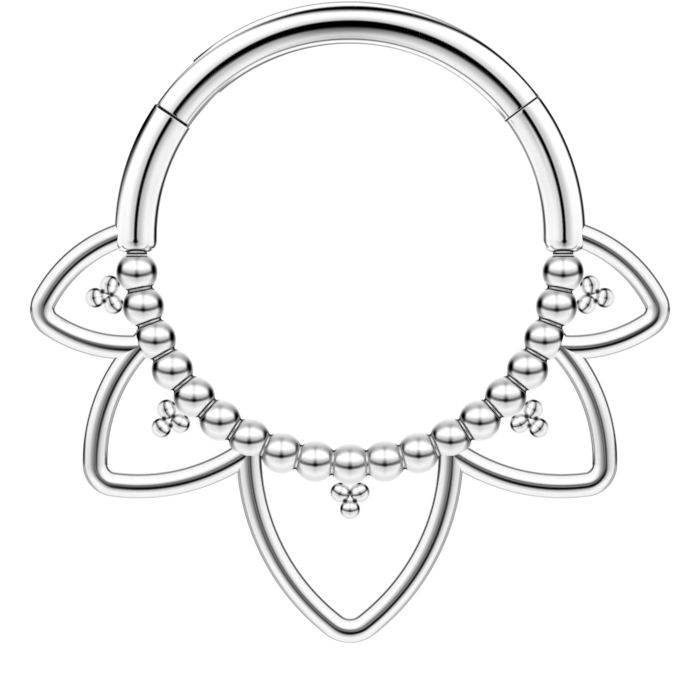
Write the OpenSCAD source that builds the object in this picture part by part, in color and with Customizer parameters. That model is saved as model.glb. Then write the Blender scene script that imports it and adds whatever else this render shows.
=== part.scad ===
/* [Ring wire] */
// Radius of the wire's centreline, in the plain upper arc and in the bead row alike
ring_r = 6; // [5:0.1:7]
// Diameter of the plain ring wire
wire_d = 1.2; // [1:0.05:1.4]
// Height of the upper arc's centre above the bead row's centre
arc_rise = 0.37; // [0.3:0.01:0.6]
// Length of the straight stretch that closes each fixed end, its rounding included
end_len = 0.42; // [0.38:0.01:0.5]
// Radius of the rounding on each fixed end
end_round = 0.3; // [0.2:0.01:0.36]

/* [Hinged segment] */
// Angle of the latch joint above the horizontal, on the right
latch_angle = 36.6; // [30:0.1:45]
// Angle of the hinge joint above the horizontal, on the left
hinge_angle = 34; // [28:0.1:42]
// Gap between the hinged segment and the fixed ring at both joints
joint_gap = 0.03; // [0.02:0.005:0.06]
// Least clearance as the rounded corners of the hinge swing past their seats
swing_gap = 0.012; // [0.01:0.002:0.016]

/* [Hinge] */
// Thickness of the tongue that the fixed ring puts into the segment
tongue_t = 0.42; // [0.34:0.01:0.5]
// Clearance between the tongue and each cheek of its slot
tongue_gap = 0.02; // [0.015:0.005:0.04]
// How far the tongue's edge lies below the wire's surface
tongue_inset = 0.05; // [0.03:0.01:0.1]
// Depth of the slot, along the centreline from the hinge joint
slot_len = 1.49; // [1.35:0.01:1.7]
// Distance from the hinge joint back to the pin, along the centreline
pin_back = 0.78; // [0.7:0.01:0.85]
// Distance of the pin outside the wire's centreline
pin_out = 0.3; // [0.24:0.01:0.34]
// Diameter of the hinge pin
pin_d = 0.24; // [0.2:0.01:0.28]
// Length of the hinge pin
pin_len = 0.68; // [0.6:0.01:0.72]
// Radial clearance of the pin in the tongue
pin_fit = 0.01; // [0.01:0.005:0.02]
// Radial clearance of the pin in the cheeks, and its play at each end
pin_play = 0.02; // [0.015:0.005:0.03]

/* [Latch] */
// Radius of the rounded nub that clicks the segment shut
nub_r = 0.3; // [0.26:0.01:0.34]
// Height of the nub above the segment's free end
nub_h = 0.09; // [0.06:0.01:0.1]
// Clearance around the nub in its dimple
nub_gap = 0.03; // [0.02:0.005:0.04]

/* [Bead row] */
// Number of beads
bead_count = 19; // [17:2:21]
// Diameter of each bead
bead_d = 1.16; // [1.1:0.01:1.24]
// Angle from the first bead's centre to the last one's
bead_span = 168; // [162:1:172]
// Diameter of the solder collar between two beads
collar_d = 0.72; // [0.66:0.01:0.8]
// Diameter of the neck between each ring end and its first bead
neck_d = 0.58; // [0.5:0.01:0.64]

/* [Petals] */
// Diameter of the petals' wire
petal_d = 0.7; // [0.6:0.01:0.8]
// Length of the middle petal, from the bead row's centreline to its sharp corner
middle_len = 4.83; // [4.4:0.05:5.4]
// Length of the two lower petals, measured likewise
lower_len = 3.61; // [3.2:0.05:4]
// Length of the two upper petals, measured likewise
upper_len = 2.92; // [2.6:0.05:3.2]
// How much thicker the petals' wire is at the bend of each tip
bend_swell = 0.01; // [0.006:0.002:0.02]
// How far the sides run into that bend
bend_lap = 0.03; // [0.02:0.01:0.04]
// Radius of the wire's bend at the middle petal's tip
middle_bend = 0.76; // [0.5:0.01:0.9]
// Radius of the wire's bend at the lower petals' tips
lower_bend = 0.57; // [0.45:0.01:0.8]
// Radius of the wire's bend at the upper petals' tips
upper_bend = 0.5; // [0.4:0.01:0.7]

/* [Grains] */
// Diameter of each grain in the clusters of three
grain_d = 0.56; // [0.48:0.01:0.62]
// How deep the solder draws each grain into its neighbours
solder_bite = 0.02; // [0.01:0.005:0.04]

/* [Hidden] */
$fn = 96;

wire_r = wire_d / 2;
bead_r = bead_d / 2;
grain_r = grain_d / 2;
pin_r = pin_d / 2;

// One step of the bead row, in degrees and along the straight line between two centres
bead_step = bead_span / (bead_count - 1);
bead_pitch = 2 * ring_r * sin(bead_step / 2);

// The hinge joint, the pin and the slot's end as angles on the centreline, and half a joint's gap
hinge_joint = 180 - hinge_angle;
pin_angle = hinge_joint - pin_back / ring_r * 180 / PI;
slot_angle = hinge_joint - slot_len / ring_r * 180 / PI;
half_gap = joint_gap / ring_r * 90 / PI;

// The pin's place about the upper arc's centre, and how far it is from the hinge joint's plane
// and from the slot's end
pin_at = (ring_r + pin_out) * [cos(pin_angle), sin(pin_angle)];
pin_reach = (ring_r + pin_out) * sin(hinge_joint - pin_angle);
slot_reach = (ring_r + pin_out) * sin(pin_angle - slot_angle);
slot_t = tongue_t + 2 * tongue_gap;

// Petals of one half, seen from the row's middle: the places of the two feet in beads from the
// middle bead, how far each foot lies outside the centreline as a share of the bead's radius, the
// lean of the tip in degrees, the length, the bulge of each side as a share of its chord, the
// bend, and the wire's thickness as a share of petal_d
middle_petal = [[-3, 3], [0, 0], 0, middle_len, [0.136, 0.136], middle_bend, 1];
side_petals = [
    [[2.91, 7.16], [0.65, 0.12], 0.65, lower_len, [0.105, 0.122], lower_bend, 0.985],
    [[6.87, 10.19], [0.1, 0], -1.35, upper_len, [0.114, 0.128], upper_bend, 0.97]
];
function feet(petal) = petal[0];
function feet_out(petal) = petal[1];
function lean(petal) = petal[2];
function reach(petal) = petal[3];
function bulges(petal) = petal[4];
function bend(petal) = petal[5];
function thickness(petal) = petal_d * petal[6];

// A place in the ring's plane, by its angle from the lowest point and its distance from the
// bead row's centre
function place(angle, radius) = radius * [sin(angle), -cos(angle)];
function heading(v) = atan2(v[1], v[0]);
function turn(from, to) = let (way = (to - from) % 360) way < 0 ? way + 360 : way;

// The centre of an arc that leaves p for q with the given bulge, on the left of that way
function arc_centre(p, q, bulge) =
    let (chord = norm(q - p), left = [p[1] - q[1], q[0] - p[0]] / chord)
    (p + q) / 2 + left * chord * (1 / (8 * bulge) - bulge / 2);

// The place at distance a from p and b from q, on the left of the way from p to q
function meeting(p, a, q, b) =
    let (far = norm(q - p), along = (a * a - b * b + far * far) / (2 * far),
         ahead = (q - p) / far, left = [-ahead[1], ahead[0]])
    p + ahead * along + left * sqrt(a * a - along * along);

function foot(petal, which) =
    place(feet(petal)[which] * bead_step, ring_r + feet_out(petal)[which] * bead_r);
function between_feet(petal) = (feet(petal)[0] + feet(petal)[1]) / 2;
function corner(petal) = place(between_feet(petal) * bead_step + lean(petal), ring_r + reach(petal));
function side_centre(petal, side) =
    side == 0 ? arc_centre(foot(petal, 0), corner(petal), bulges(petal)[0])
              : arc_centre(corner(petal), foot(petal, 1), bulges(petal)[1]);
function side_radius(petal, side) = norm(corner(petal) - side_centre(petal, side));
function bend_centre(petal) = meeting(
    side_centre(petal, 0), side_radius(petal, 0) - bend(petal),
    side_centre(petal, 1), side_radius(petal, 1) - bend(petal));

// The model's middle in Y, halfway between the top of the upper arc and the middle petal's tip
top_y = arc_rise + ring_r + wire_r;
tip_y = bend_centre(middle_petal)[1] - middle_bend - (thickness(middle_petal) + bend_swell) / 2;
middle_y = (top_y + tip_y) / 2;

// Puts what is drawn about the bead row's centre into the part's frame
module lay_flat() {
    translate([0, -middle_y, wire_r]) children();
}

// Puts what is drawn about the upper arc's centre into the part's frame
module on_upper_arc() {
    lay_flat() translate([0, arc_rise, 0]) children();
}

// A bent round wire, its centreline an arc in the ring's plane
module bent_wire(radius, wire, from, sweep) {
    rotate([0, 0, from]) rotate_extrude(angle = sweep)
        translate([radius, 0]) rotate([0, 0, 90]) circle(d = wire);
}

// Puts what is drawn about the pin in place, turned to the joint plane at the given angle
module at_pin(angle = 0) {
    translate([pin_at[0], pin_at[1], 0]) rotate([0, 0, angle]) children();
}

// The outer corner past the pin, on one side of it, that a round about the pin leaves over
module past_round(angle, side, radius) {
    difference() {
        at_pin(angle) translate([0, min(0, side) * 2 * wire_d, -wire_d]) cube(2 * wire_d);
        at_pin() cylinder(r = radius, h = 3 * wire_d, center = true);
    }
}

// Half of the profile of a fixed end: a straight wire closed by a flat with a rounded edge
module end_profile() {
    square([wire_r, end_len - end_round]);
    square([wire_r - end_round, end_len]);
    translate([wire_r - end_round, end_len - end_round]) intersection() {
        circle(end_round);
        square(end_round);
    }
}

// The straight end below the upper arc, and the neck that joins it to the first bead
module ring_end() {
    neck_from = arc_rise - end_len + end_round;
    first_bead = place(bead_span / 2, ring_r);
    translate([ring_r, arc_rise, 0]) rotate([90, 0, 0]) rotate_extrude() end_profile();
    translate([first_bead[0], neck_from, 0]) rotate([90, 0, 0])
        cylinder(d = neck_d, h = neck_from - first_bead[1]);
}

// The fixed arc on the hinge's side: cut flat at the joint, with a lip round the cheeks' corner
module hinge_shoulder() {
    lip = 6;
    difference() {
        mirror([1, 0, 0]) bent_wire(ring_r, wire_d, 0, hinge_angle + lip);
        difference() {
            rotate([0, 0, hinge_joint]) translate([0, -2 * wire_d, -wire_d])
                cube([2 * ring_r, 2 * wire_d, 2 * wire_d]);
            past_round(hinge_joint, 1, pin_reach + joint_gap - swing_gap);
        }
    }
}

// The tongue that enters the segment's slot, rounded about the pin and drilled for it
module tongue() {
    root = 3;
    from = slot_angle + 2 * half_gap;
    difference() {
        intersection() {
            bent_wire(ring_r, wire_d - 2 * tongue_inset, from, hinge_joint + root - from);
            cube([4 * ring_r, 4 * ring_r, tongue_t], center = true);
        }
        past_round(slot_angle, -1, slot_reach - swing_gap);
        at_pin() cylinder(r = pin_r + pin_fit, h = wire_d, center = true);
    }
}

module ring_ends() {
    on_upper_arc() {
        difference() {
            bent_wire(ring_r, wire_d, 0, latch_angle - half_gap);
            nub(nub_r + nub_gap);
        }
        hinge_shoulder();
        tongue();
    }
    lay_flat() {
        ring_end();
        mirror([1, 0, 0]) ring_end();
    }
}

// The ball that the click nub is cut from; the dimple is cut by a larger one on its centre
module nub(radius) {
    rotate([0, 0, latch_angle + half_gap]) translate([ring_r, nub_r - nub_h, 0]) sphere(radius);
}

module bead_row() {
    lay_flat() for (i = [0 : bead_count - 1]) {
        angle = i * bead_step - bead_span / 2;
        rotate([0, 0, angle]) translate([0, -ring_r, 0]) rotate([0, 0, 90]) sphere(bead_r);
        if (i > 0) rotate([0, 0, angle - bead_step / 2])
            translate([-(bead_pitch - bead_r) / 2, -ring_r * cos(bead_step / 2), 0])
                rotate([0, 90, 0]) cylinder(d = collar_d, h = bead_pitch - bead_r);
    }
}

// One petal: two bent sides that run a little way into the tight bend at the tip, which is a
// touch thicker, as wire is where it is bent hard
module petal(p) {
    bend_from = heading(bend_centre(p) - side_centre(p, 0));
    bend_to = heading(bend_centre(p) - side_centre(p, 1));
    for (side = [0, 1]) {
        c = side_centre(p, side);
        lap = bend_lap / side_radius(p, side) * 180 / PI;
        from = side == 0 ? heading(foot(p, 0) - c) : bend_to - lap;
        to = side == 0 ? bend_from + lap : heading(foot(p, 1) - c);
        translate([c[0], c[1], 0])
            bent_wire(side_radius(p, side), thickness(p), from, turn(from, to));
    }
    translate([bend_centre(p)[0], bend_centre(p)[1], 0])
        bent_wire(bend(p), thickness(p) + bend_swell, bend_from, turn(bend_from, bend_to));
}

module petals() {
    lay_flat() {
        petal(middle_petal);
        for (p = side_petals) {
            petal(p);
            mirror([1, 0, 0]) petal(p);
        }
    }
}

// Three touching grains that point outwards, the inner pair seated on the nearest beads
module grain_cluster(p) {
    step = grain_d - solder_bite;
    at = round(2 * between_feet(p)) / 2;
    bead_off = (round(at + 0.01) - at) * bead_step;
    aside = ring_r * sin(bead_off) - step / 2;
    seat = bead_r + grain_r - solder_bite;
    pair = ring_r * cos(bead_off) + sqrt(seat * seat - aside * aside);
    rotate([0, 0, at * bead_step]) {
        for (s = [-1, 1]) translate([s * step / 2, -pair, 0]) sphere(grain_r);
        translate([0, -pair - step * sin(60), 0]) sphere(grain_r);
    }
}

module grain_clusters() {
    lay_flat() {
        grain_cluster(middle_petal);
        for (p = side_petals) {
            grain_cluster(p);
            mirror([1, 0, 0]) grain_cluster(p);
        }
    }
}

// The fixed ring with all that is soldered to it
module ring_body() color([0.80, 0.81, 0.82]) {
    ring_ends();
    bead_row();
    petals();
    grain_clusters();
}

// The upper arc that swings on the pin, slotted for the tongue, with a nub on its free end
module hinged_segment() color([0.84, 0.85, 0.86]) on_upper_arc() {
    from = latch_angle + half_gap;
    difference() {
        bent_wire(ring_r, wire_d, from, hinge_joint - 2 * half_gap - from);
        rotate([0, 0, slot_angle]) translate([0, 0, -slot_t / 2])
            cube([2 * ring_r, 2 * slot_len, slot_t]);
        past_round(hinge_joint, 1, pin_reach - swing_gap);
        at_pin() cylinder(r = pin_r + pin_play, h = pin_len + 2 * pin_play, center = true);
    }
    nub(nub_r);
}

module hinge_pin() color([0.70, 0.71, 0.72]) on_upper_arc() {
    at_pin() cylinder(r = pin_r, h = pin_len, center = true);
}

ring_body();
hinged_segment();
hinge_pin();
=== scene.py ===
import math

import bpy
import numpy as np
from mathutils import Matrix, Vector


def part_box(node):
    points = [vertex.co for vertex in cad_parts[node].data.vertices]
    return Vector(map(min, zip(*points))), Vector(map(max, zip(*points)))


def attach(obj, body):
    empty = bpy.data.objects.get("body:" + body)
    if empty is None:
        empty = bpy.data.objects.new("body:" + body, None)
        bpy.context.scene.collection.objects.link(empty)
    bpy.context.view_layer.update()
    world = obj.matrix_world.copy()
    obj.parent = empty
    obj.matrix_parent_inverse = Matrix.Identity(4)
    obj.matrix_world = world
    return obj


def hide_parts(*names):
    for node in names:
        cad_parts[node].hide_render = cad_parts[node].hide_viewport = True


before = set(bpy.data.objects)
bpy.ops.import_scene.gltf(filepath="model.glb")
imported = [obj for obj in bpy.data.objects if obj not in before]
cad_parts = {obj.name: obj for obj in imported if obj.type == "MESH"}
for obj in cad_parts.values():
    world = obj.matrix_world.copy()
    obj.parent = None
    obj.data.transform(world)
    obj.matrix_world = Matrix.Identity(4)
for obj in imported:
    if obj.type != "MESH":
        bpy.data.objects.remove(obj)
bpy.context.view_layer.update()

mm = 0.001  # lengths below are in millimetres, and Blender's are in metres

# The plain wire: two fixed ends and the hinged segment, all on one arc
ringWire = dict(
    radius=6.0, thickness=1.2, arcRise=0.37,
    latchAngle=36.6, hingeAngle=34.0, jointGap=0.03, latchGap=0.002, swingGap=0.012, edgeRound=0.035,
    endLength=0.43, endRoundAcross=0.27, endRoundAlong=0.34, around=72, stepLength=0.06,
    creaseAngle=50,  # degrees from which an edge stays sharp, here and on the beads
)

# Both centres follow from the CAD model: the top of the segment's box is the top of the arc
wireRadius = ringWire["thickness"] / 2
arcCentre = np.array([0.0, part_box("hinged_segment")[1][1] / mm - ringWire["radius"] - wireRadius])
rowCentre = arcCentre - [0, ringWire["arcRise"]]


# Corners, faces and painted shade of one closed skin: rings of points joined in order, with a
# pole at each end. The painted shade is one value for each ring, and the poles take that of their ring
def closedSkin(rings, firstPole, lastPole, paintedShade=0.0):
    rows, columns = rings.shape[:2]
    corners = np.concatenate([rings.reshape(-1, 3), [firstPole, lastPole]])
    j = np.arange(columns)
    k = (j + 1) % columns
    base = (np.arange(rows - 1) * columns)[:, None]
    quads = np.stack([base + j, base + k, base + columns + k, base + columns + j], 2).reshape(-1, 4)
    first, last = rows * columns, rows * columns + 1
    end = (rows - 1) * columns
    fans = np.concatenate([
        np.stack([np.full(columns, first), k, j], 1),
        np.stack([np.full(columns, last), end + j, end + k], 1),
    ])
    # A skin that came out inside out has a negative volume, and is turned round
    a, b, c = corners[fans[:, 0]], corners[fans[:, 1]], corners[fans[:, 2]]
    volume = np.einsum("ij,ij->", a, np.cross(b, c))
    p, q, r, s = (corners[quads[:, i]] for i in range(4))
    volume += np.einsum("ij,ij->", p, np.cross(q, r)) + np.einsum("ij,ij->", p, np.cross(r, s))
    if volume < 0:
        quads, fans = quads[:, ::-1], fans[:, ::-1]
    paintedShade = np.broadcast_to(paintedShade, rows)
    return corners, quads, fans, np.concatenate([np.repeat(paintedShade, columns), paintedShade[[0, -1]]])


# One object from closed skins given in millimetres. The painted shade of its joint gaps and creases goes
# with it as an attribute, and more painted shade worked out from the points can be added to it
def makePiece(name, skins, sharpAngle=None, shadeMarks=None):
    corners, loops, starts, dark, at, used = [], [], [], [], 0, 0
    for points, quads, fans, paintedShade in skins:
        corners.append(points * mm)
        dark.append(np.maximum(paintedShade, shadeMarks(points)) if shadeMarks else paintedShade)
        for faces in (quads, fans):
            size = faces.shape[1]
            loops.append((faces + used).ravel())
            starts.append(at + size * np.arange(len(faces)))
            at += faces.size
        used += len(points)
    corners, loops, starts = (np.concatenate(x) for x in (corners, loops, starts))
    mesh = bpy.data.meshes.new(name)
    mesh.vertices.add(len(corners))
    mesh.loops.add(len(loops))
    mesh.polygons.add(len(starts))
    mesh.vertices.foreach_set("co", corners.astype(np.float32).ravel())
    mesh.polygons.foreach_set("loop_start", starts.astype(np.int32))
    mesh.polygons.foreach_set("vertices", loops.astype(np.int32))
    mesh.update(calc_edges=True)
    # This attribute carries painted shade for the dark joint gaps and creases
    paintedShadeData = mesh.attributes.new("paintedShade", "FLOAT", "POINT").data
    paintedShadeData.foreach_set("value", np.concatenate(dark).astype(np.float32))
    mesh.validate()
    mesh.shade_smooth()
    if sharpAngle:
        mesh.set_sharp_from_angle(angle=math.radians(sharpAngle))
    piece = bpy.data.objects.new(name, mesh)
    bpy.context.scene.collection.objects.link(piece)
    print("made", name, len(starts), "faces")
    return piece


# A point of the ring's plane from its distance outside the wire's centreline and its way along
# it: an arc about the arc's centre, then straight down past the half turn
def onArc(outward, way):
    radius = ringWire["radius"]
    turn = np.minimum(way / radius, np.pi)
    below = np.maximum(way - np.pi * radius, 0)
    x = (radius + outward) * np.cos(turn)
    y = (radius + outward) * np.sin(turn) - below
    return x + arcCentre[0], y + arcCentre[1]


# Rows of points on a flat end and on its round, which is small below the given size
endRows = dict(face=14, smallRound=6, largeRound=18, smallBelow=0.1)


# A profile of (outward, height) points carried along the arc. Each end is a face given as a way
# along for each point, with its edge rounded by a quarter ellipse: across by the first number,
# along by the second. The face's painted shade, for the dark gap at a joint, fades out over the round
def sweptBody(profile, startFace, endFace, startRound, endRound, startShade, endShade):
    hub = profile.mean(axis=0)
    side = np.roll(profile, -1, axis=0) - np.roll(profile, 1, axis=0)
    outwards = np.stack([side[:, 1], -side[:, 0]], 1) / np.linalg.norm(side, axis=1)[:, None]
    rings, along, dark = [], [], []

    def addEnd(face, edge, sign, order, paintedShade):
        rows = []
        inner = profile - outwards * edge[0]
        for share in np.linspace(0, 1, endRows["face"] + 1)[1:]:
            points = hub + (inner - hub) * share
            rows.append((points, face(points), paintedShade))
        if edge[0] > 0:
            roundRows = endRows["smallRound" if edge[0] < endRows["smallBelow"] else "largeRound"]
            for t in np.linspace(0, np.pi / 2, roundRows + 1)[1:]:
                points = profile - outwards * edge[0] * (1 - np.sin(t))
                ways = face(points) + sign * edge[1] * (1 - np.cos(t))
                rows.append((points, ways, paintedShade * min(1, 2 * np.cos(t))))
        rows = rows[::order]
        rings.extend(r[0] for r in rows)
        along.extend(r[1] for r in rows)
        dark.extend(r[2] for r in rows)
        return rows[0][1] if order < 0 else rows[-1][1]

    begin = addEnd(startFace, startRound, 1, 1, startShade)
    finish = endFace(profile) - endRound[1]
    count = max(2, int(np.mean(finish - begin) / ringWire["stepLength"]))
    for share in np.linspace(0, 1, count + 1)[1:-1]:
        rings.append(profile)
        along.append(begin + (finish - begin) * share)
        dark.append(0)
    addEnd(endFace, endRound, -1, -1, endShade)

    def place(points, way):
        x, y = onArc(points[..., 0], way)
        return np.stack([x, y, points[..., 1] + wireRadius], -1)

    atHub = hub[None]
    return closedSkin(
        place(np.array(rings), np.array(along)),
        place(atHub, startFace(atHub))[0], place(atHub, endFace(atHub))[0], np.array(dark, float))


# Points of a circle
def roundProfile(radius, count):
    turn = np.linspace(0, 2 * np.pi, count, endpoint=False)
    return radius * np.stack([np.cos(turn), np.sin(turn)], 1)


# The hinge's tongue and slot, and where its pin sits
hinge = dict(
    tongueThickness=0.42, slotGap=0.02, tongueInset=0.05, slotLength=1.49,
    pinBack=0.78, pinOut=0.3, cornerRound=0.02, tongueRoot=0.3,
    cheekLap=0.3, cheekSink=0.0003, cornerPoints=8, tonguePoints=16,
)
# The rounded nub that clicks the segment shut, and its dimple
catch = dict(radius=0.3, height=0.09, gap=0.03)


# A round cut flat at a height, with its two corners rounded: the arc above the cut, a corner,
# the flat, and the other corner
def cheekProfile(radius, cutHeight, corner, count):
    low = math.asin((cutHeight + corner) / (radius - corner))
    seat = (radius - corner) * np.array([math.cos(low), math.sin(low)])
    arc = np.linspace(low, np.pi - low, count)
    turnLeft = np.linspace(np.pi - low, 1.5 * np.pi, hinge["cornerPoints"])[1:]
    turnRight = np.linspace(-0.5 * np.pi, low, hinge["cornerPoints"])[:-1]
    across = np.linspace(-seat[0], seat[0], count // 2)[1:-1]
    return np.concatenate([
        radius * np.stack([np.cos(arc), np.sin(arc)], 1),
        [-seat[0], seat[1]] + corner * np.stack([np.cos(turnLeft), np.sin(turnLeft)], 1),
        np.stack([across, np.full(len(across), cutHeight)], 1),
        seat + corner * np.stack([np.cos(turnRight), np.sin(turnRight)], 1),
    ])


# A round cut flat above and below: two short arcs joined by two flats
def tongueProfile(radius, halfHeight, corner, count):
    low = math.asin((halfHeight - corner) / (radius - corner))
    seat = (radius - corner) * np.array([math.cos(low), math.sin(low)])
    right = np.linspace(-low, low, count)
    top = np.linspace(low, 0.5 * np.pi, hinge["cornerPoints"])[1:]
    left = np.linspace(0.5 * np.pi, np.pi - low, hinge["cornerPoints"])[:-1]
    across = np.linspace(seat[0], -seat[0], count)[1:-1]
    half = np.concatenate([
        radius * np.stack([np.cos(right), np.sin(right)], 1),
        seat + corner * np.stack([np.cos(top), np.sin(top)], 1),
        np.stack([across, np.full(len(across), halfHeight)], 1),
        [-seat[0], seat[1]] + corner * np.stack([np.cos(left), np.sin(left)], 1),
    ])
    return np.concatenate([half, -half])


# Angles of the joints, the pin and the slot's start about the arc's centre, and how far the pin is
# from the joint's plane and from the plane of the slot's start
ringRadius = ringWire["radius"]
hingeJoint = math.radians(180 - ringWire["hingeAngle"])
latchJoint = math.radians(ringWire["latchAngle"])
pinAngle = hingeJoint - hinge["pinBack"] / ringRadius
pinRadius = ringRadius + hinge["pinOut"]
pinReach = pinRadius * math.sin(hingeJoint - pinAngle)
slotAngle = hingeJoint - hinge["slotLength"] / ringRadius
slotReach = pinRadius * math.sin(pinAngle - slotAngle)
noRound = (0, 0)


# A flat face across the wire at one way along
def flatFace(way):
    return lambda points: np.full(len(points), way)


# A flat face whose outer part turns into a round about the pin: where a circle about the arc's
# centre meets the round, by the law of cosines. side is 1 past the pin and -1 before it
def roundedFace(way, reach, side):
    def face(points):
        radius = ringRadius + points[:, 0]
        cosine = (radius**2 + pinRadius**2 - reach**2) / (2 * radius * pinRadius)
        meets = (pinAngle + side * np.arccos(np.clip(cosine, -1, 1))) * ringRadius
        outside = radius > pinRadius * math.cos(hingeJoint - pinAngle)
        nearer = np.minimum(way, meets) if side > 0 else np.maximum(way, meets)
        return np.where(outside, nearer, way)
    return face


# A flat face with a round cap of the given ball standing out of it, or sunk into it
def cappedFace(way, ball, depth, sign):
    def face(points):
        off = np.hypot(points[:, 0], points[:, 1])
        rise = np.sqrt(np.maximum(ball**2 - off**2, 0)) - depth
        return way + sign * np.maximum(rise, 0)
    return face


# The same skin on the other side of the ring's middle line, with its faces turned round again
def mirrored(skin):
    corners, quads, fans, paintedShade = skin
    return corners * [-1, 1, 1], quads[:, ::-1], fans[:, ::-1], paintedShade


# Painted shade lines in the creases. Beside each solder ring: how far a line is from the ring's middle, its
# half width, its darkness at the lowest bead, the angle from which it is full, and the size of the
# painted dark spot at its ends. On the neck: the lines' heights above the first bead's middle, how far
# they reach to both sides and their half width. The arch over them: an ellipse's half axes, how
# far its middle is below the arc's centre and outside the wire's centreline, and its half width
creaseShade = dict(
    solderLine=0.047, lineWidth=0.05, lowestDepth=0.35, fullAngle=35, spotWidth=0.09,
    neckLines=(0.517, 0.44), neckHalf=0.295, neckWidth=0.046,
    archHalf=0.28, archRise=0.076, archBase=0.46, archSide=-0.033, archWidth=0.05,
    sharpness=2.0,
)


# Painted shade along the arched edge of the neck's solder on each ring end, in the crease there: a line
# along the upper half of an ellipse.
# The distance from it is the ellipse's own value less one, over its slope
def neckArchShade(points):
    across = (np.abs(points[:, 0]) - ringRadius - creaseShade["archSide"]) / creaseShade["archHalf"]
    up = (points[:, 1] - arcCentre[1] + creaseShade["archBase"]) / creaseShade["archRise"]
    size = np.hypot(across, up)
    slope = np.hypot(across / creaseShade["archHalf"], up / creaseShade["archRise"]) / np.maximum(size, 1e-6)
    off = np.abs(size - 1) / np.maximum(slope, 1e-6)
    return np.where(up > 0, np.clip(creaseShade["sharpness"] * (1 - off / creaseShade["archWidth"]), 0, 1), 0)


# The hinged segment: a round wire with the nub on its free end, and past the slot's start two
# cheeks, one above the slot and one below
def makeSegment():
    edge = (ringWire["edgeRound"], ringWire["edgeRound"])
    seat = catch["radius"] - catch["height"]
    slotWay = slotAngle * ringRadius
    start = cappedFace(latchJoint * ringRadius + ringWire["latchGap"] / 2, catch["radius"], seat, -1)
    # Painted shade: the end faces at both joints are darkened fully, for the shade in the gap between the
    # pieces
    tube = sweptBody(
        roundProfile(wireRadius, ringWire["around"]), start, flatFace(slotWay), edge, noRound, 1, 0)
    cut = hinge["tongueThickness"] / 2 + hinge["slotGap"]
    profile = cheekProfile(
        wireRadius - hinge["cheekSink"], cut, hinge["cornerRound"], ringWire["around"] // 2)
    lastWay = hingeJoint * ringRadius - ringWire["jointGap"]
    end = roundedFace(lastWay, pinReach - ringWire["swingGap"], 1)
    cheeks = [
        sweptBody(outline, flatFace(slotWay - hinge["cheekLap"]), end, noRound, edge, 0, 1)
        for outline in (profile, profile[::-1] * [1, -1])
    ]
    return makePiece("hingedSegment", [tube, *cheeks], sharpAngle=ringWire["creaseAngle"])


# Both ring ends and the tongue. The left end steps back round the pin at its outer side, and the
# right one has the dimple
def makeRingEnds():
    edge = (ringWire["edgeRound"], ringWire["edgeRound"])
    foot = (ringWire["endRoundAcross"], ringWire["endRoundAlong"])
    profile = roundProfile(wireRadius, ringWire["around"])
    bottom = flatFace(np.pi * ringRadius + ringWire["endLength"])
    shoulder = roundedFace(
        hingeJoint * ringRadius, pinReach + ringWire["jointGap"] - ringWire["swingGap"], 1)
    # Painted shade: the end faces at the joints and the tongue's end are darkened fully, for the shade in
    # the gaps
    left = sweptBody(profile, shoulder, bottom, edge, foot, 1, 0)
    seat = catch["radius"] - catch["height"] + ringWire["latchGap"]
    shut = (np.pi - latchJoint) * ringRadius + ringWire["latchGap"] / 2
    dimple = cappedFace(shut, catch["radius"] + catch["gap"], seat, 1)
    right = mirrored(sweptBody(profile, dimple, bottom, edge, foot, 1, 0))
    tongueEnd = roundedFace(
        slotAngle * ringRadius + ringWire["jointGap"], slotReach - ringWire["swingGap"], -1)
    tongueRoot = flatFace(hingeJoint * ringRadius + hinge["tongueRoot"])
    outline = tongueProfile(
        wireRadius - hinge["tongueInset"], hinge["tongueThickness"] / 2, hinge["cornerRound"],
        hinge["tonguePoints"])
    tongue = sweptBody(outline, tongueEnd, tongueRoot, (hinge["cornerRound"],) * 2, noRound, 1, 0)
    # The ring ends carry the neck arch's painted shade
    return makePiece(
        "ringEnds", [left, right, tongue], sharpAngle=ringWire["creaseAngle"], shadeMarks=neckArchShade)


# Beads from one ring end to the other, with a solder ring between each two
beadRow = dict(
    count=19, diameter=1.16, span=168.0, around=64,
    rowAngles=[
        0, 6, 12, 18, 23, 27, 29, 30.2, 31.4, 33, 35, 37, 38, 39, 40, 41, 42, 44,
        48, 53, 58, 64, 70, 77, 84, 90],
    solderDiameter=0.71, solderCrown=0.03, solderReach=0.10, solderRows=17,
    neckDiameter=0.58, neckCrown=0.03, neckTop=0.05,
)
beadRadius = beadRow["diameter"] / 2
beadStep = beadRow["span"] / (beadRow["count"] - 1)


# A body turned about a line in the ring's plane: radius given for each way along the line
def turnedBody(middle, direction, ways, radii, around):
    turn = np.linspace(0, 2 * np.pi, around, endpoint=False)
    along = np.array([direction[0], direction[1], 0.0])
    across = np.array([-direction[1], direction[0], 0.0])
    ring = np.cos(turn)[:, None] * across + np.sin(turn)[:, None] * [0, 0, 1]
    start = np.array([middle[0], middle[1], wireRadius])
    rings = start + ways[:, None, None] * along + radii[:, None, None] * ring
    return closedSkin(rings[1:-1], start + ways[0] * along, start + ways[-1] * along)


# A ball, as the half circle turned about the line. Its rows are given as angles from the pole
def ball(middle, direction, radius, around, turn):
    return turnedBody(middle, direction, -radius * np.cos(turn), radius * np.sin(turn), around)


# A solder ring: its radius less the crown times the square of the share of the way to its end, and
# flat ends inside the balls
def solderRing(middle, direction, radius, crown, reach, around):
    share = np.linspace(-1, 1, beadRow["solderRows"])
    ways = np.concatenate([[-reach], share * reach, [reach]])
    radii = np.concatenate([[0], radius - crown * share**2, [0]])
    return turnedBody(middle, direction, ways, radii, around)


# A place in the ring's plane from its angle from the lowest point and its distance
def placeOnRow(degrees, distance):
    turn = math.radians(degrees)
    return rowCentre + distance * np.array([math.sin(turn), -math.cos(turn)])


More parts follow.
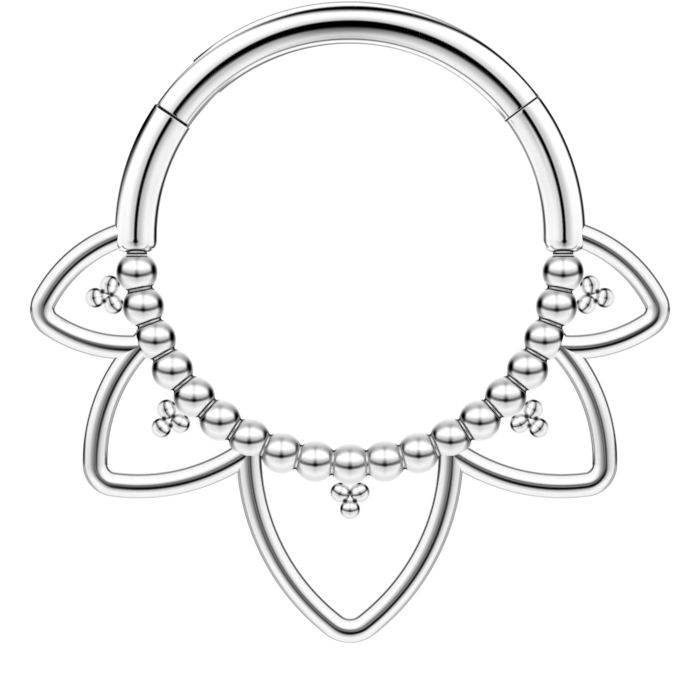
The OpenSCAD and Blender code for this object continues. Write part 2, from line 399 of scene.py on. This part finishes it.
# Painted shade round a circle: the sharpness times one minus the distance over the width, kept between
# 0 and 1
def nearCircle(points, middle, axis, radius, width):
    off = points - middle
    ahead = off @ axis
    aside = np.linalg.norm(off - ahead[:, None] * axis, axis=1)
    return np.clip(creaseShade["sharpness"] * (1 - np.hypot(aside - radius, ahead) / width), 0, 1)


# The same painted shade round places of the ring's plane, as seen from above
def shadeSpots(points, places):
    off = np.min([np.hypot(points[:, 0] - x, points[:, 1] - y) for x, y in places], axis=0)
    return np.clip(creaseShade["sharpness"] * (1 - off / creaseShade["spotWidth"]), 0, 1)


# Painted shade lines in the creases where each bead meets its solder ring, and the two painted shade lines
# of the neck
def beadCreaseShade(points):
    dark = np.zeros(len(points))
    half = beadStep / 2
    away = ringRadius * math.sin(math.radians(half))
    for i in range(beadRow["count"] - 1):
        angle = half + i * beadStep - beadRow["span"] / 2
        middle = np.array([*placeOnRow(angle, ringRadius * math.cos(math.radians(half))), wireRadius])
        axis = np.array([math.cos(math.radians(angle)), math.sin(math.radians(angle)), 0])
        near = np.linalg.norm(points - middle, axis=1) < beadRadius
        rise = min(1, abs(angle) / creaseShade["fullAngle"])
        depth = creaseShade["lowestDepth"] + (1 - creaseShade["lowestDepth"]) * rise
        for side in (1, -1):
            out = creaseShade["solderLine"]
            radius = math.sqrt(beadRadius**2 - (away - out)**2)
            # Painted shade lines on the bead beside the solder ring, where shade falls in the crease
            dark[near] = np.maximum(dark[near], depth * nearCircle(
                points[near], middle + side * out * axis, axis, radius, creaseShade["lineWidth"]))
        # Painted shade spots at both ends of the crease, where shade falls deepest
        across = np.array([-axis[1], axis[0]]) * beadRow["solderDiameter"] / 2
        ends = [middle[:2] + across, middle[:2] - across]
        dark[near] = np.maximum(dark[near], shadeSpots(points[near], ends))
    first = placeOnRow(-beadRow["span"] / 2, ringRadius)
    for height in creaseShade["neckLines"]:
        neckRadius = (beadRow["neckDiameter"] - beadRow["neckCrown"]) / 2
        radius = max(math.sqrt(beadRadius**2 - height**2), neckRadius)
        # Painted shade lines on the neck, where shade falls in its creases
        for side in (1, -1):
            middle = np.array([side * first[0], first[1] + height, wireRadius])
            line = nearCircle(points, middle, np.array([0.0, 1.0, 0.0]), radius, creaseShade["neckWidth"])
            inside = np.abs(points[:, 0] - middle[0]) < creaseShade["neckHalf"]
            dark = np.maximum(dark, line * inside)
    return dark


# Balls at even steps round the row, a solder ring halfway between each two, and a neck up to each
# ring end
def makeBeads():
    skins = []
    quarter = np.radians(beadRow["rowAngles"])
    rows = np.concatenate([quarter, np.pi - quarter[:-1][::-1]])
    for i in range(beadRow["count"]):
        angle = i * beadStep - beadRow["span"] / 2
        ahead = np.array([math.cos(math.radians(angle)), math.sin(math.radians(angle))])
        skins.append(ball(placeOnRow(angle, ringRadius), ahead, beadRadius, beadRow["around"], rows))
        if i:
            half = math.radians(angle - beadStep / 2)
            middle = placeOnRow(angle - beadStep / 2, ringRadius * math.cos(math.radians(beadStep / 2)))
            skins.append(solderRing(
                middle, (math.cos(half), math.sin(half)), beadRow["solderDiameter"] / 2,
                beadRow["solderCrown"], beadRow["solderReach"], beadRow["around"]))
    first = placeOnRow(-beadRow["span"] / 2, ringRadius)
    top = arcCentre[1] - ringWire["endLength"] + beadRow["neckTop"]
    low = first[1] + math.sqrt(beadRadius**2 - (beadRow["neckDiameter"] / 2)**2) - beadRow["neckTop"]
    neck = solderRing(
        (first[0], (top + low) / 2), (0, 1), beadRow["neckDiameter"] / 2,
        beadRow["neckCrown"], (top - low) / 2, beadRow["around"])
    return makePiece(
        "beadRow", skins + [neck, mirrored(neck)], sharpAngle=ringWire["creaseAngle"], shadeMarks=beadCreaseShade)


# Petals of one half: feet in beads from the middle bead, how far each foot is outside the row
# as a share of the bead's radius, lean of the tip in degrees, length, bulge of both sides as a
# share of the chord, and radius of the tip's bend
petalTable = dict(
    middle=dict(feet=(-3, 3), out=(0, 0), lean=0, length=4.83, bulge=(0.136, 0.136), bend=0.76),
    lower=dict(
        feet=(2.91, 7.16), out=(0.65, 0.12), lean=0.65, length=3.61, bulge=(0.105, 0.122), bend=0.57),
    upper=dict(feet=(6.87, 10.19), out=(0.1, 0), lean=-1.35, length=2.92, bulge=(0.114, 0.128), bend=0.5),
)
petalWire = dict(thickness=0.7, around=48, stepLength=0.05, leastPoints=8)


# The centre of the arc from p to q whose middle stands out to the right by bulge times the chord:
# left of the chord's middle, by the chord times 1 / (8 * bulge) - bulge / 2
def arcCentreOf(p, q, bulge):
    chord = np.linalg.norm(q - p)
    left = np.array([p[1] - q[1], q[0] - p[0]]) / chord
    return (p + q) / 2 + left * chord * (1 / (8 * bulge) - bulge / 2)


# The place at distance a from p and b from q, on the left of the way from p to q
def meeting(p, a, q, b):
    far = np.linalg.norm(q - p)
    along = (a * a - b * b + far * far) / (2 * far)
    ahead = (q - p) / far
    return p + ahead * along + np.array([-ahead[1], ahead[0]]) * math.sqrt(a * a - along * along)


# Points and outward directions of an arc, run counterclockwise
def arcPoints(centre, radius, start, end):
    end = start + (end - start) % (2 * np.pi)
    count = max(petalWire["leastPoints"], int(radius * (end - start) / petalWire["stepLength"]))
    turn = np.linspace(start, end, count)
    out = np.stack([np.cos(turn), np.sin(turn)], 1)
    return centre + radius * out, out


# A round wire along two bent sides and the tight bend between them
def petalSkin(petal):
    feet = [
        placeOnRow(petal["feet"][i] * beadStep, ringRadius + petal["out"][i] * beadRadius) for i in (0, 1)
    ]
    tip = placeOnRow(sum(petal["feet"]) / 2 * beadStep + petal["lean"], ringRadius + petal["length"])
    centres = [arcCentreOf(feet[0], tip, petal["bulge"][0]), arcCentreOf(tip, feet[1], petal["bulge"][1])]
    radii = [np.linalg.norm(tip - c) for c in centres]
    bendAt = meeting(centres[0], radii[0] - petal["bend"], centres[1], radii[1] - petal["bend"])

    def heading(v):
        return math.atan2(v[1], v[0])

    bendFrom, bendTo = heading(bendAt - centres[0]), heading(bendAt - centres[1])
    runs = [
        arcPoints(centres[0], radii[0], heading(feet[0] - centres[0]), bendFrom),
        arcPoints(bendAt, petal["bend"], bendFrom, bendTo),
        arcPoints(centres[1], radii[1], bendTo, heading(feet[1] - centres[1])),
    ]
    points = np.concatenate([runs[0][0][:-1], runs[1][0], runs[2][0][1:]])
    out = np.concatenate([runs[0][1][:-1], runs[1][1], runs[2][1][1:]])
    turn = np.linspace(0, 2 * np.pi, petalWire["around"], endpoint=False)
    wire = petalWire["thickness"] / 2
    flat = points[:, None] + wire * np.cos(turn)[:, None] * out[:, None]
    height = np.broadcast_to(wireRadius + wire * np.sin(turn), flat.shape[:2])
    rings = np.concatenate([flat, height[..., None]], 2)
    return closedSkin(rings, [*points[0], wireRadius], [*points[-1], wireRadius])


# Grains: their size, how deep two of them melt into each other, points round and along, and how
# many degrees the dark line of the first and second leans
grains = dict(diameter=0.56, bite=0.02, around=40, along=28, lineTilt=22)


# Three grains in a triangle inside a petal: two touch the beads under the petal's middle, and the
# outer one rests on both. Each comes with its middle, the way its dark line leans, and the places
# where it touches the others
def clusterSkins(petal):
    step = grains["diameter"] - grains["bite"]
    radius = grains["diameter"] / 2
    at = round(sum(petal["feet"])) / 2
    beadOff = math.radians((math.floor(at + 0.5) - at) * beadStep)
    aside = ringRadius * math.sin(beadOff) - step / 2
    seat = beadRadius + radius - grains["bite"]
    pair = ringRadius * math.cos(beadOff) + math.sqrt(seat**2 - aside**2)
    turn = math.radians(at * beadStep)
    along = np.array([math.cos(turn), math.sin(turn)])
    down = np.array([math.sin(turn), -math.cos(turn)])
    middles = [
        rowCentre + down * pair - along * step / 2,
        rowCentre + down * pair + along * step / 2,
        rowCentre + down * (pair + step * math.sin(math.radians(60))),
    ]
    rows = np.linspace(0, np.pi, grains["along"] + 1)
    lines = [-grains["lineTilt"], grains["lineTilt"], 0]
    touching = [(middles[i] + middles[i - 1]) / 2 for i in range(3)]
    touching += [m - (m - rowCentre) / np.linalg.norm(m - rowCentre) * radius for m in middles[:2]]
    return [
        (ball(middle, (0, 1), radius, grains["around"], rows), middle, line, touching)
        for middle, line in zip(middles, lines)
    ]


segment = makeSegment()
ringEnds = makeRingEnds()
beads = makeBeads()
petals, clusters = [], []
for name, petal in petalTable.items():
    wire, balls = petalSkin(petal), clusterSkins(petal)
    petals.append(makePiece(name + "Petal", [wire] if name == "middle" else [wire, mirrored(wire)]))
    across = sum(petal["feet"]) / 2 * beadStep
    for number, (skin, middle, line, touching) in enumerate(balls):
        label = ("First", "Second", "Outer")[number]
        for side in (1, -1) if name != "middle" else (1,):
            # Painted shade spots where the grain touches the other grains and the beads
            grain = makePiece(
                name + label + "Grain" + ("Right" if side > 0 else "Left"),
                [skin if side > 0 else mirrored(skin)],
                shadeMarks=lambda points: shadeSpots(points, [place * [side, 1] for place in touching]))
            clusters.append((grain, middle * [side, 1], side * (across + line)))

fixedPieces = [ringEnds, beads, *petals, *[c[0] for c in clusters]]
for piece in [*fixedPieces, segment]:
    piece.visible_glossy = False  # the pieces mirror the tents of light below, and not each other
for piece in fixedPieces:
    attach(piece, "ring")
    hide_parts("ring_body")
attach(segment, "segment")
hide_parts("hinged_segment")


# Sizes of the polish's noises per metre, where the cloudy one starts and how quickly it grows, and
# the colour and roughness of the painted shade of creases and joint gaps at its darkest
polishing = dict(
    cloudScale=900, cloudDetail=3, cloudStart=0.35, cloudGrowth=2.0,
    hairScale=2500, hairDetail=2, hairStretch=(1, 14, 14), waveScale=700, waveDetail=1,
    shadeColour=(0.005, 0.005, 0.005, 1), shadeRoughness=0.9,
)


# Polished steel, worked out from the place on the piece. Cloudy noise makes the polish a little
# duller here and there and shifts the colour slightly, fine stretched noise makes hairlines, and
# slow noise makes the surface a little uneven. The painted shade attribute makes the creases and joint gaps
# dark, rough
# and unlike metal: each is mixed in by its share
def makePolishGroup():
    group = bpy.data.node_groups.new("steelPolish", "ShaderNodeTree")
    colourKind, valueKind = "NodeSocketColor", "NodeSocketFloat"
    for name, kind in (
            ("Colour", colourKind), ("Dull Colour", colourKind), ("Roughness", valueKind),
            ("Dullness", valueKind), ("Hairlines", valueKind)):
        group.interface.new_socket(name, in_out="INPUT", socket_type=kind)
    for name, kind in (
            ("Colour", colourKind), ("Metal", valueKind), ("Roughness", valueKind),
            ("Height", valueKind)):
        group.interface.new_socket(name, in_out="OUTPUT", socket_type=kind)
    nodes, links = group.nodes, group.links
    given, result = nodes.new("NodeGroupInput"), nodes.new("NodeGroupOutput")
    place = nodes.new("ShaderNodeTexCoord").outputs["Object"]

    def noise(scale, detail, stretch=(1, 1, 1)):
        mapping = nodes.new("ShaderNodeMapping")
        mapping.inputs["Scale"].default_value = stretch
        links.new(place, mapping.inputs["Vector"])
        texture = nodes.new("ShaderNodeTexNoise")
        texture.inputs["Scale"].default_value = scale
        texture.inputs["Detail"].default_value = detail
        links.new(mapping.outputs[0], texture.inputs["Vector"])
        return texture.outputs["Fac"]

    def calc(operation, *values):
        node = nodes.new("ShaderNodeMath")
        node.operation = operation
        for socket, value in zip(node.inputs, values):
            if isinstance(value, (int, float)):
                socket.default_value = value
            else:
                links.new(value, socket)
        return node.outputs[0]

    def mix(share, first, second):
        node = nodes.new("ShaderNodeMix")
        node.data_type = "RGBA"
        links.new(share, node.inputs["Factor"])
        for socket, value in ((node.inputs["A"], first), (node.inputs["B"], second)):
            if isinstance(value, tuple):
                socket.default_value = value
            else:
                links.new(value, socket)
        return node.outputs["Result"]

    paintedShade = nodes.new("ShaderNodeAttribute")
    paintedShade.attribute_name = "paintedShade"
    depth = paintedShade.outputs["Fac"]
    cloud = noise(polishing["cloudScale"], polishing["cloudDetail"])
    hairs = noise(polishing["hairScale"], polishing["hairDetail"], polishing["hairStretch"])
    wave = noise(polishing["waveScale"], polishing["waveDetail"])
    duller = calc("MULTIPLY", calc("SUBTRACT", cloud, polishing["cloudStart"]), polishing["cloudGrowth"])
    duller = calc("MINIMUM", calc("MAXIMUM", duller, 0.0), 1.0)
    shade = mix(duller, given.outputs["Colour"], given.outputs["Dull Colour"])
    # Painted shade: the crease and joint gap darkness takes the base colour towards black
    links.new(mix(depth, shade, polishing["shadeColour"]), result.inputs["Colour"])
    rough = calc("ADD", given.outputs["Roughness"], calc("MULTIPLY", duller, given.outputs["Dullness"]))
    rough = calc("ADD", rough, calc("MULTIPLY", depth, polishing["shadeRoughness"]))
    links.new(rough, result.inputs["Roughness"])
    links.new(calc("SUBTRACT", 1.0, depth), result.inputs["Metal"])
    fine = calc("MULTIPLY", hairs, given.outputs["Hairlines"])
    links.new(calc("ADD", wave, fine), result.inputs["Height"])
    return group


polish = makePolishGroup()


# A steel with the polish above. Only the pieces that carry the painted shade attribute get the painted
# shade
def makeSteel(name, colour, dullColour, roughness, dullness, hairlines, unevenness, withPaintedShade):
    material = bpy.data.materials.new(name)
    material.use_nodes = True
    nodes, links = material.node_tree.nodes, material.node_tree.links
    shader = nodes["Principled BSDF"]
    surface = nodes.new("ShaderNodeGroup")
    surface.node_tree = polish
    surface.inputs["Colour"].default_value = (*colour, 1)
    surface.inputs["Dull Colour"].default_value = (*dullColour, 1)
    surface.inputs["Roughness"].default_value = roughness
    surface.inputs["Dullness"].default_value = dullness
    surface.inputs["Hairlines"].default_value = hairlines
    bump = nodes.new("ShaderNodeBump")
    bump.inputs["Strength"].default_value = 1
    bump.inputs["Distance"].default_value = unevenness * mm
    links.new(surface.outputs["Colour"], shader.inputs["Base Color"])
    if withPaintedShade:
        links.new(surface.outputs["Metal"], shader.inputs["Metallic"])
    else:
        shader.inputs["Metallic"].default_value = 1
    links.new(surface.outputs["Roughness"], shader.inputs["Roughness"])
    links.new(surface.outputs["Height"], bump.inputs["Height"])
    links.new(bump.outputs["Normal"], shader.inputs["Normal"])
    return material


steel = makeSteel(
    "mirrorSteel", colour=(0.87, 0.87, 0.875), dullColour=(0.83, 0.83, 0.835), roughness=0.05,
    dullness=0.05, hairlines=0.01, unevenness=0.004, withPaintedShade=True)
pinSteel = makeSteel(
    "pinSteel", colour=(0.62, 0.62, 0.63), dullColour=(0.5, 0.5, 0.5), roughness=0.25,
    dullness=0.15, hairlines=0.2, unevenness=0.004, withPaintedShade=False)
for piece in [*fixedPieces, segment]:
    piece.data.materials.append(steel)
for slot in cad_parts["hinge_pin"].material_slots:
    slot.material = pinSteel
print("gave the pieces their steel")

# The studio: the camera straight above, the paper that the ring lies on, the light of the sky and
# the tents. A wide tent is a little larger than the one before it, and one ray may cross tentsMost
studio = dict(
    cameraHeight=163.35, lens=300.0, middleY=-0.784, nearest=0.01, farthest=5,
    floorHalf=400.0, paperColour=0.12, paperRoughness=0.9, paperGlow=0.92, skyLight=1.12,
    tentRadius=300.0, tentGap=5.0, tentRows=180, tentColumns=240,
    grainTentRadius=3.0, grainTentRows=60, grainTentColumns=90,
    tentLight=1.2, tentGamma=2.2, tentsMost=64, rimStep=5,
)


# Each piece mirrors a tent of soft light round it, with strips of dark cloth hung in the tent. A
# place in the tent is given as it shows in a mirror ball seen from above: x to the right and y
# to the top of the picture, each from -1 to 1. A strip is a row of knots: x, y, how far the
# cloth fades to both sides, and how dark it is, where more than 1 gives it a black middle
def strip(*knots):
    return np.array(knots, float)


# A strip that bends round the ball's middle: an angle, a radius, the fade and the darkness for each
# knot, with knots filled in between them
def rim(*knots):
    turn, radius, fade, dark = np.array(knots, float).T
    at = np.linspace(turn[0], turn[-1], int((turn[-1] - turn[0]) / studio["rimStep"]) + 2)
    radius, fade, dark = (np.interp(at, turn, column) for column in (radius, fade, dark))
    return np.stack([radius * np.cos(np.radians(at)), radius * np.sin(np.radians(at)), fade, dark], 1)


tubeStrips = [
    strip((0, 0.01, 0.11, 1.4), (0, -0.11, 0.17, 1.4)),
    strip((0, -0.12, 0.08, 1), (0, -0.3, 0.12, 0.4), (0.02, -0.5, 0.2, 0.15)),
    strip((-0.12, 0.02, 0.3, 0.2), (0, 0, 0.35, 0.3), (0, -0.17, 0.5, 0.4), (0.15, 0.02, 0.35, 0.25)),
    strip((-0.86, 0.15, 0.14, 0.2), (-0.78, 0.45, 0.2, 1), (-0.7, 0.56, 0.1, 0.5)),
    rim((36, 0.915, 0.08, 1), (48, 0.905, 0.08, 1.1), (56, 0.885, 0.09, 1.2), (64, 0.82, 0.1, 0.85),
        (72, 0.74, 0.11, 0.95), (80, 0.69, 0.12, 1.3), (90, 0.65, 0.135, 1.35), (100, 0.67, 0.12, 1.1),
        (108, 0.69, 0.1, 0.8), (116, 0.73, 0.09, 0.45), (124, 0.775, 0.08, 0.32), (132, 0.82, 0.08, 0.32),
        (141, 0.88, 0.08, 0.5)),
    rim((72, 0.66, 0.1, 0.15), (90, 0.56, 0.14, 0.45), (106, 0.62, 0.1, 0.15)),
    rim((50, 0.93, 0.07, 0.4), (72, 0.925, 0.08, 0.38), (90, 0.94, 0.07, 0.33), (108, 0.96, 0.06, 0.35),
        (128, 0.98, 0.06, 0.5)),
    rim((128, 0.96, 0.09, 0.9), (147, 0.95, 0.1, 1)),
    rim((-10, 0.91, 0.09, 0.5), (5, 0.92, 0.11, 0.9), (35, 0.93, 0.11, 1)),
    rim((147, 0.94, 0.08, 0.8), (170, 0.93, 0.09, 0.7), (190, 0.92, 0.08, 0.4)),
    rim((322, 0.94, 0.09, 0.6), (345, 0.94, 0.09, 0.85), (362, 0.93, 0.08, 0.7)),
    rim((216, 0.965, 0.06, 0.2), (250, 0.98, 0.06, 0.28), (270, 0.985, 0.07, 0.42), (280, 0.98, 0.07, 0.5),
        (288, 0.965, 0.07, 0.55), (296, 0.955, 0.07, 0.65), (304, 0.935, 0.07, 0.6), (316, 0.9, 0.08, 0.6),
        (325, 0.93, 0.08, 0.6)),
    rim((216, 0.74, 0.06, 0.5), (236, 0.78, 0.06, 0.48), (252, 0.795, 0.06, 0.48), (270, 0.8, 0.07, 0.58),
        (288, 0.775, 0.06, 0.52), (296, 0.75, 0.06, 0.42), (304, 0.74, 0.06, 0.38), (312, 0.72, 0.06, 0.32),
        (325, 0.69, 0.06, 0.25)),
    rim((310, 0.83, 0.07, 0.3), (325, 0.83, 0.07, 0.45)),
    rim((250, 0.68, 0.12, 0.08), (270, 0.69, 0.15, 0.2), (290, 0.68, 0.12, 0.1)),
    rim((180, 0.9, 0.08, 0.5), (216, 0.9, 0.08, 0.5)),
    rim((195, 0.6, 0.45, 0.07), (345, 0.6, 0.45, 0.07)),
]
petalStrips = [
    strip((-0.04, 0.01, 0.11, 0.4), (-0.07, -0.1, 0.15, 0.5), (0, -0.22, 0.18, 1), (0.09, -0.2, 0.17, 1),
          (0.15, -0.11, 0.15, 0.9), (0.11, -0.04, 0.14, 0.75), (0.05, 0, 0.12, 0.55), (0, 0.01, 0.12, 0.4)),
    strip((-0.15, -0.05, 0.35, 0.3), (0, -0.25, 0.4, 0.4), (0.18, -0.15, 0.35, 0.3), (0.12, 0, 0.2, 0.15),
          (0, 0.02, 0.2, 0.2)),
    strip((0, -0.1, 0.3, 0.1)),
    rim((0, 0.9, 0.12, 0.75), (45, 0.9, 0.12, 0.75), (75, 0.87, 0.13, 0.5), (105, 0.87, 0.13, 0.5),
        (135, 0.9, 0.12, 0.75), (180, 0.9, 0.12, 0.75)),
    rim((180, 0.83, 0.12, 0.4), (210, 0.83, 0.12, 0.35), (230, 0.86, 0.12, 0.15)),
    rim((180, 0.97, 0.1, 0.5), (225, 0.97, 0.12, 0.4), (270, 0.98, 0.15, 0.2), (315, 0.97, 0.12, 0.4),
        (360, 0.97, 0.1, 0.5)),
    rim((310, 0.86, 0.12, 0.15), (330, 0.83, 0.12, 0.35), (360, 0.83, 0.12, 0.4)),
    strip((-0.25, -0.02, 0.3, 0.2), (-0.5, -0.08, 0.3, 0.12)),
    strip((0.25, 0, 0.3, 0.2), (0.5, -0.05, 0.3, 0.12)),
    rim((0, 0.75, 0.4, 0.06), (360, 0.75, 0.4, 0.06)),
]
beadStrips = [
    strip((0, -0.175, 0.12, 0.7), (0.2, -0.165, 0.12, 0.58), (0.4, -0.13, 0.13, 0.52),
          (0.6, -0.07, 0.15, 0.5), (0.72, 0, 0.16, 0.5)),
    strip((0, -0.08, 0.28, 0.3), (0.4, -0.03, 0.26, 0.27), (0.7, 0.07, 0.25, 0.2)),
    strip((0, -0.16, 0.18, 0.65)),
    strip((0, -0.3, 0.4, 0.25), (0.5, -0.25, 0.3, 0.08)),
    strip((0, 0, 0.17, 0.3), (0, 0.2, 0.12, 0.06), (0, 0.55, 0.12, 0.12)),
    strip((0, 0.65, 0.22, 0.12)),
    rim((-40, 0.9, 0.2, 0.08), (-20, 0.89, 0.2, 0.4), (-8, 0.86, 0.2, 0.6), (2, 0.84, 0.2, 1.1),
        (13, 0.84, 0.2, 1.2), (22, 0.85, 0.2, 0.9), (35, 0.84, 0.22, 0.42), (60, 0.78, 0.26, 0.22),
        (90, 0.74, 0.28, 0.2)),
    rim((40, 0.72, 0.2, 0.08), (70, 0.66, 0.16, 0.12), (90, 0.64, 0.14, 0.17)),
    rim((-90, 0.9, 0.3, 0.1), (-45, 0.91, 0.25, 0.12), (-10, 0.92, 0.22, 0.15),
        (60, 0.95, 0.25, 0.06), (90, 0.97, 0.25, 0.03)),
    rim((-90, 0.7, 0.4, 0.05), (-30, 0.7, 0.4, 0.05)),
]


# Darkness of one strip: its knots joined by straight lines, each with a fade and a darkness that
# run evenly from knot to knot. Off the line that is nearest for its fade, at a share t of the
# fade, the darkness is multiplied by 1 - t * t * (3 - 2 * t)
def stripDarkness(x, y, knots):
    nearest, dark = np.ones_like(x), np.zeros_like(x)
    for i in range(max(1, len(knots) - 1)):
        first, last = knots[i], knots[min(i + 1, len(knots) - 1)]
        way = last[:2] - first[:2]
        share = ((x - first[0]) * way[0] + (y - first[1]) * way[1]) / max(way @ way, 1e-9)
        share = np.clip(share, 0, 1)
        off = np.hypot(x - first[0] - share * way[0], y - first[1] - share * way[1])
        fade, depth = (first[k] + share * (last[k] - first[k]) for k in (2, 3))
        closer = off / fade < nearest
        nearest = np.where(closer, off / fade, nearest)
        dark = np.where(closer, depth, dark)
    return np.minimum(dark * (1 - nearest**2 * (3 - 2 * nearest)), 1)


# A ball of light round the middle that only its receivers mirror. Its tone is the product of what
# each strip leaves, and its light is the tone to the power of tentGamma. The turn is how far its
# strips are turned about the upright, and with evenSides they hang on both sides
def makeTent(name, receivers, strips, turn, evenSides, middle, radius, rowCount, columnCount):
    down = np.radians(np.linspace(0, 180, rowCount + 2)[1:-1])[:, None]
    around = np.linspace(0, 2 * np.pi, columnCount, endpoint=False)
    rings = np.stack([
        np.sin(down) * np.cos(around), np.sin(down) * np.sin(around), np.cos(down) + 0 * around], -1)
    skin = closedSkin(middle + rings * radius, middle + [0, 0, radius], middle - [0, 0, radius])
    tent = makePiece(name, [skin])
    x, y, z = ((skin[0] - middle) / radius).T
    ballRadius = np.sqrt(np.clip((1 - z) / 2, 0, 1))
    angle = np.arctan2(y, x) - math.radians(turn)
    ballX, ballY = ballRadius * np.cos(angle), ballRadius * np.sin(angle)
    ballX = np.abs(ballX) if evenSides else ballX
    tone = np.prod([1 - stripDarkness(ballX, ballY, knots) for knots in strips], axis=0)
    light = tent.data.attributes.new("light", "FLOAT", "POINT")
    light.data.foreach_set("value", (studio["tentLight"] * tone**studio["tentGamma"]).astype(np.float32))
    material = bpy.data.materials.new(name)
    material.use_nodes = True
    material.cycles.emission_sampling = "NONE"
    nodes, links = material.node_tree.nodes, material.node_tree.links
    nodes.clear()
    value = nodes.new("ShaderNodeAttribute")
    value.attribute_name = "light"
    emission = nodes.new("ShaderNodeEmission")
    clear = nodes.new("ShaderNodeBsdfTransparent")
    both = nodes.new("ShaderNodeAddShader")
    out = nodes.new("ShaderNodeOutputMaterial")
    links.new(value.outputs["Fac"], emission.inputs["Strength"])
    links.new(emission.outputs[0], both.inputs[0])
    links.new(clear.outputs[0], both.inputs[1])
    links.new(both.outputs[0], out.inputs["Surface"])
    tent.data.materials.append(material)
    tent.visible_camera = tent.visible_diffuse = tent.visible_shadow = tent.visible_transmission = False
    group = bpy.data.collections.new(name + "Receivers")
    for piece in receivers:
        group.objects.link(piece)
    tent.light_linking.receiver_collection = group


wideTents = [
    ("tubeTent", [ringEnds, segment], tubeStrips), ("beadTent", [beads], beadStrips),
    ("petalTent", petals, petalStrips),
]
for number, (name, receivers, strips) in enumerate(wideTents):
    radius = studio["tentRadius"] + number * studio["tentGap"]
    makeTent(
        name, receivers, strips, 0, strips is beadStrips, np.zeros(3), radius,
        studio["tentRows"], studio["tentColumns"])
for grain, middle, turn in clusters:
    place = np.array([*middle, wireRadius])
    makeTent(
        grain.name + "Tent", [grain], beadStrips, turn, True, place, studio["grainTentRadius"],
        studio["grainTentRows"], studio["grainTentColumns"])
bpy.context.scene.cycles.transparent_max_bounces = studio["tentsMost"]
print("hung the tents")

floor = bpy.data.objects.new("floor", bpy.data.meshes.new("floor"))
bpy.context.scene.collection.objects.link(floor)
half = studio["floorHalf"] * mm
floor.data.from_pydata(
    [(-half, -half, 0), (half, -half, 0), (half, half, 0), (-half, half, 0)], [], [(0, 1, 2, 3)])
paper = bpy.data.materials.new("palePaper")
paper.use_nodes = True
shader = paper.node_tree.nodes["Principled BSDF"]
shader.inputs["Base Color"].default_value = (*[studio["paperColour"]] * 3, 1)
shader.inputs["Roughness"].default_value = studio["paperRoughness"]
shader.inputs["Specular IOR Level"].default_value = 0
shader.inputs["Emission Color"].default_value = (1, 1, 1, 1)
shader.inputs["Emission Strength"].default_value = studio["paperGlow"]
floor.data.materials.append(paper)
floor.visible_glossy = False  # the tents reach below the floor, and the pieces mirror them there

world = bpy.data.worlds.new("studio")
bpy.context.scene.world = world
world.use_nodes = True
sky = world.node_tree.nodes["Background"]
sky.inputs["Color"].default_value = (1, 1, 1, 1)
sky.inputs["Strength"].default_value = studio["skyLight"]
world.cycles_visibility.glossy = False

bpy.context.scene.view_settings.view_transform = "Standard"

camera = bpy.data.objects.new("camera", bpy.data.cameras.new("camera"))
bpy.context.scene.collection.objects.link(camera)
camera.data.lens = studio["lens"]
camera.location = (0, studio["middleY"] * mm, (studio["cameraHeight"] + wireRadius) * mm)
camera.data.clip_start = studio["nearest"]
camera.data.clip_end = studio["farthest"]
bpy.context.scene.camera = camera
print("set up the paper, the sky and the camera")
